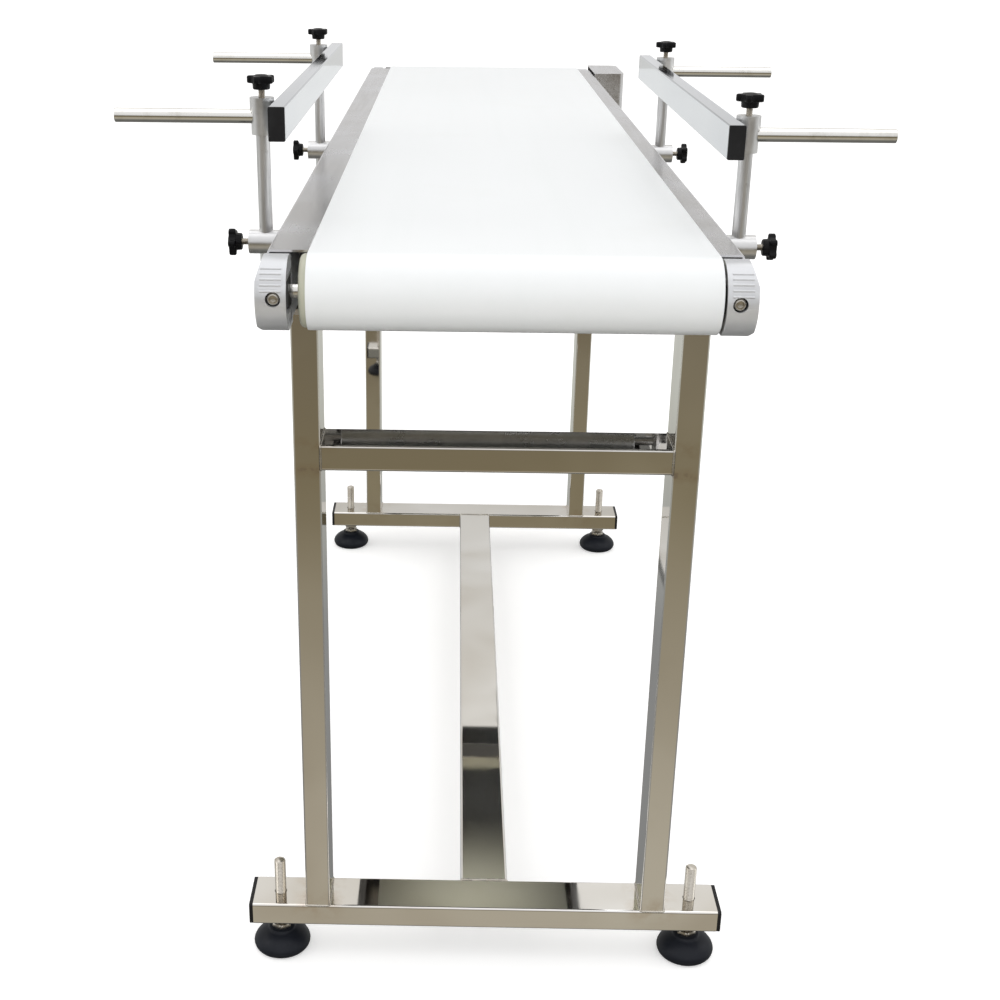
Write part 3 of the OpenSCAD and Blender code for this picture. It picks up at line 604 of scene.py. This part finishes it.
def build_tension_screw(joint):
    """Button-head screw with a domed head and a hex socket."""
    node = joint["child"].replace("tension_", "tension_screw_")
    low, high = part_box(node)
    head, rim, socket = 3.3, 0.9, 4.6
    seat = low.y + head * MM
    origin = ((low.x + high.x) / 2, seat, (low.z + high.z) / 2)
    length = (high.y - seat) / MM
    # the screw's outline from its tip over the head and into the socket, in mm
    rings = [(-length, 2.3), (-length + 0.8, 2.95), (-0.5, 2.95), (0, 3.1), (0, 5.0), (0.25, 5.24),
             (rim, 5.2)]
    for i in range(1, 7):
        a = pi / 2 * i / 7
        rings.append((rim + (head - rim) * sin(a), 5.2 - 2.1 * (1 - cos(a))))
    rings += [(head, 3.0), (head - 0.05, hexagon(socket + 0.3)), (head - 0.3, hexagon(socket)),
              (1.1, hexagon(socket)), (0.8, 0.3)]
    mesh = make_mesh(node + "_finished", *stack(scaled(rings), 72), standing(origin, (0, -1, 0)), 35.0)
    add_piece(node + "_finished", mesh, "zinc_fasteners", NODE_BODY[node], node)


# ---------------------------------------------------------------- weld beads

def build_weld(name, middle, across, up, width, height):
    """Rippled bead round a rectangular tube where it meets a flat face."""
    radius, corner, step = 1.3 * MM, 2.5 * MM, 0.9 * MM
    across, up = Vector(across), Vector(up)
    normal = across.cross(up)
    arc_steps, sides = 4, 10
    path = []
    for quarter in range(4):
        side_x = 1 if quarter in (0, 3) else -1
        side_y = 1 if quarter in (0, 1) else -1
        for i in range(arc_steps + 1):
            a = pi / 2 * (quarter + i / arc_steps)
            path.append(((width / 2 - corner) * side_x + corner * cos(a),
                         (height / 2 - corner) * side_y + corner * sin(a)))
    points = []
    for i, (x, y) in enumerate(path):
        nx, ny = path[(i + 1) % len(path)]
        steps = max(1, int(sqrt((nx - x) ** 2 + (ny - y) ** 2) / step))
        for k in range(steps):
            points.append((x + (nx - x) * k / steps, y + (ny - y) * k / steps))
    count = len(points)

    def at(i):
        x, y = points[i]
        px, py = points[i - 1]
        qx, qy = points[(i + 1) % count]
        along = Vector((qx - px, qy - py)).normalized()
        out = Vector((along.y, -along.x))
        r = radius * (1 + 0.10 * sin(i * 2.1) + 0.06 * sin(i * 0.37))
        ring = []
        for k in range(sides):
            a = tau * k / sides
            flat = Vector((x, y)) + out * (r * cos(a) * 0.9)
            ring.append(middle + across * flat.x + up * flat.y + normal * (r * sin(a) * 0.8))
        return ring

    add_piece(name, sweep(name, count, at), "zinc_fasteners", "root")


def build_welds():
    """Beads where the legs stand on the foot beams and where the braces and the stretcher end."""
    legs_low, legs_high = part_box("legs")
    beams_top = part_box("foot_beams")[1].z
    brace_low, brace_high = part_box("cross_braces")
    stretcher_low, stretcher_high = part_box("base_stretcher")
    narrow = legs_high.x - brace_high.x
    wide = 50 * MM
    leg_x = legs_high.x - narrow / 2
    brace_z = (brace_low.z + brace_high.z) / 2
    stretcher_z = (stretcher_low.z + stretcher_high.z) / 2
    x_axis, y_axis, z_axis = (1, 0, 0), (0, 1, 0), (0, 0, 1)
    for end, y in (("near", legs_low.y + wide / 2), ("far", legs_high.y - wide / 2)):
        for side, s in (("left", -1), ("right", 1)):
            foot, brace = Vector((s * leg_x, y, beams_top)), Vector((s * brace_high.x, y, brace_z))
            build_weld(f"weld_foot_{end}_{side}", foot, x_axis, y_axis, narrow, wide)
            build_weld(f"weld_brace_{end}_{side}", brace, y_axis, z_axis, wide, narrow)
    for end, y in (("near", stretcher_low.y), ("far", stretcher_high.y)):
        build_weld(f"weld_stretcher_{end}", Vector((0, y, stretcher_z)), x_axis, z_axis, wide, narrow)


# ---------------------------------------------------------------- all pieces

# how far each node's hard edges are rounded, in mm
ROUNDED = {
    "end_brackets": 0.5, "foot_beam_caps": 1.0, "takeup_blocks": 0.9, "gearbox": 1.2,
    "terminal_box": 1.5, "motor_plate": 0.4, "drive_cover": 0.35, "leg_brackets": 0.5,
    "return_roller_hangers": 0.35, "hex_bolts": 0.35, "button_screws": 0.2, "lower_clamps": 0.7,
    "upper_clamps_left": 0.7, "upper_clamps_right": 0.7, "cross_rods_left": 0.8,
    "cross_rods_right": 0.8, "guide_posts_left": 0.8, "guide_posts_right": 0.8, "rail_caps_left": 0.9,
    "rail_caps_right": 0.9, "tail_shaft": 0.6, "drive_shaft": 0.8, "motor_shaft": 0.6,
    "driven_pulley": 0.4, "motor_pulley": 0.4, "return_roller_shafts": 0.5, "fan_cover": 0.6,
    "motor_body": 0.6, "power_cable": 0.5, "bed_cross_ties": 0.4, "drive_bearings": 0.4,
    "tail_roller_bearings": 0.4, "slider_bed": 0.25,
}


def build_pieces():
    """Build all finished pieces, then put materials on the CAD nodes that are shown as they are."""
    build_belt()
    for name in sorted(JOINTS):
        joint = JOINTS[name]
        if name.startswith("knob_"):
            build_knob(joint)
        elif name.startswith("tension_"):
            build_tension_screw(joint)
    for node in FOOT_NODES:
        build_foot(node)
    build_lock_nuts()
    build_welds()
    for node, width in ROUNDED.items():
        piece = refine(node, width * MM)
        if node == "takeup_blocks":
            ease_sides(piece)
    for node, obj in frame["nodes"].items():
        for slot in obj.material_slots:
            slot.material = MATERIALS[NODE_SLOT[node]]


# ---------------------------------------------------------------- studio

def build_floor():
    """Plain pale floor, which only the camera sees."""
    size = 60.0
    mesh = make_mesh("floor", [(-size, -size, 0), (size, -size, 0), (size, size, 0), (-size, size, 0)],
                     [(0, 1, 2, 3)])
    g = Surface("floor_pale")
    tone = g.mix(g.remap(g.noise(2.0, 3.0), 0.3, 0.7), (0.86, 0.86, 0.86), (0.88, 0.88, 0.88))
    mesh.materials.append(g.finish(Base_Color=tone, Roughness=0.9, Specular_IOR_Level=0.1,
                                   Emission_Color=(1.0, 1.0, 1.0), Emission_Strength=0.42))
    floor = bpy.data.objects.new("floor", mesh)
    bpy.context.scene.collection.objects.link(floor)
    floor.visible_glossy = False
    floor.visible_diffuse = False


# colours of the room by height: the steel faces that look at the camera mirror the front half
FRONT_ROOM = (
    (-1.0, (0.56, 0.52, 0.43)), (-0.57, (0.44, 0.40, 0.32)), (-0.36, (0.235, 0.20, 0.128)),
    (-0.17, (0.18, 0.155, 0.115)), (-0.05, (0.10, 0.09, 0.07)), (0.05, (0.78, 0.78, 0.78)),
    (1.0, (1.05, 1.05, 1.07)),
)
BACK_ROOM = (
    (-1.0, (0.14, 0.14, 0.13)), (-0.44, (0.26, 0.262, 0.26)), (-0.30, (0.52, 0.525, 0.48)),
    (-0.02, (0.80, 0.80, 0.80)), (0.09, (0.84, 0.84, 0.85)), (0.20, (0.54, 0.54, 0.535)),
    (0.55, (0.80, 0.78, 0.74)), (1.0, (1.10, 1.10, 1.12)),
)
BACKDROP = (0.93, 0.93, 0.93)


def build_world():
    """Pale backdrop for the camera, and for light and reflections a room: warm and dark in front of
    the conveyor, light behind it and bright above."""
    world = bpy.data.worlds.new("studio")
    bpy.context.scene.world = world
    world.use_nodes = True
    g = Graph(world.node_tree, "Generated")
    height = g.axis("Z")
    facing = g.remap(g.axis("Y"), -0.15, -0.85, curve="SMOOTHSTEP")
    room = g.mix(facing, g.ramp(height, BACK_ROOM), g.ramp(height, FRONT_ROOM))
    paths = g.add("LightPath").outputs
    # light from below is weak on dull surfaces and in second reflections, so that the bed's underside
    # stays dark
    second = g.math("GREATER_THAN", paths["Ray Depth"], 2.5)
    indirect = g.math("MAXIMUM", g.math("MULTIPLY", second, 0.6), paths["Is Diffuse Ray"])
    strength = g.mix_values(indirect, 1.0, g.remap(height, -0.25, 0.05, 0.03, 1.0))
    background = g.tree.nodes["Background"]
    g.put(background.inputs["Color"], g.mix(paths["Is Camera Ray"], room, BACKDROP))
    g.put(background.inputs["Strength"], strength)


def add_light(name, place, target, size, power, colour=(1, 1, 1), mirrored=True, spread=180.0):
    """Rectangular light that faces a target, with its spread in degrees, mirrored by the steel or not."""
    data = bpy.data.lights.new(name, "AREA")
    data.spread = radians(spread)
    data.shape = "RECTANGLE"
    data.size, data.size_y = size
    data.energy = power
    data.color = colour
    light = bpy.data.objects.new(name, data)
    light.location = place
    light.rotation_euler = (Vector(target) - Vector(place)).to_track_quat("-Z", "Y").to_euler()
    light.visible_glossy = mirrored
    light.visible_camera = False
    bpy.context.scene.collection.objects.link(light)


def build_lights():
    """Soft room light, and two weak lights low down for the belt's turn and the braces."""
    add_light("overhead", (0.0, -0.1, 3.2), (0, 0, 0.6), size=(2.6, 3.4), power=13.0)
    add_light("left", (-3.0, -1.2, 2.2), (0, 0, 0.6), size=(1.6, 1.6), power=10.0,
              colour=(1.0, 0.99, 0.97))
    add_light("right", (3.0, -0.2, 2.0), (0, 0, 0.6), size=(1.2, 1.8), power=8.0,
              colour=(0.97, 0.99, 1.0))
    add_light("front", (0.3, -3.4, 1.3), (0, -0.6, 0.7), size=(2.4, 1.6), power=15.5,
              colour=(1.0, 0.995, 0.97), mirrored=False)
    add_light("low_front", (0.0, -1.50, 0.05), (0, -0.8, 0.72), size=(1.6, 0.4), power=1.2,
              colour=(1.0, 0.98, 0.93), mirrored=False, spread=60.0)
    add_light("under", (0.0, 0.04, 0.10), (0, 0.04, 0.72), size=(0.25, 0.56), power=0.19,
              colour=(1.0, 0.95, 0.72), mirrored=False, spread=30.0)


def build_camera():
    """Camera at the tail end, a little left of the middle, looking along the belt and down."""
    place = Vector((-0.0416, -1.9685, 1.0309))
    yaw, pitch, roll = radians(-0.92), radians(-22.0), radians(0.48)
    forward = Vector((sin(yaw) * cos(pitch), cos(yaw) * cos(pitch), sin(pitch)))
    right = Vector((cos(yaw), -sin(yaw), 0))
    up = right.cross(forward)
    x_axis = right * cos(roll) + up * sin(roll)
    y_axis = up * cos(roll) - right * sin(roll)
    data = bpy.data.cameras.new("camera")
    data.sensor_width = 36.0
    data.lens = 53.2584
    data.shift_x = 0.0714
    data.shift_y = 0.0120
    camera = bpy.data.objects.new("camera", data)
    matrix = Matrix((x_axis, y_axis, -forward)).transposed().to_4x4()
    matrix.translation = place
    camera.matrix_world = matrix
    bpy.context.scene.collection.objects.link(camera)
    bpy.context.scene.camera = camera


build_pieces()
build_floor()
build_world()
build_lights()
build_camera()
bpy.context.scene.view_settings.view_transform = "Standard"
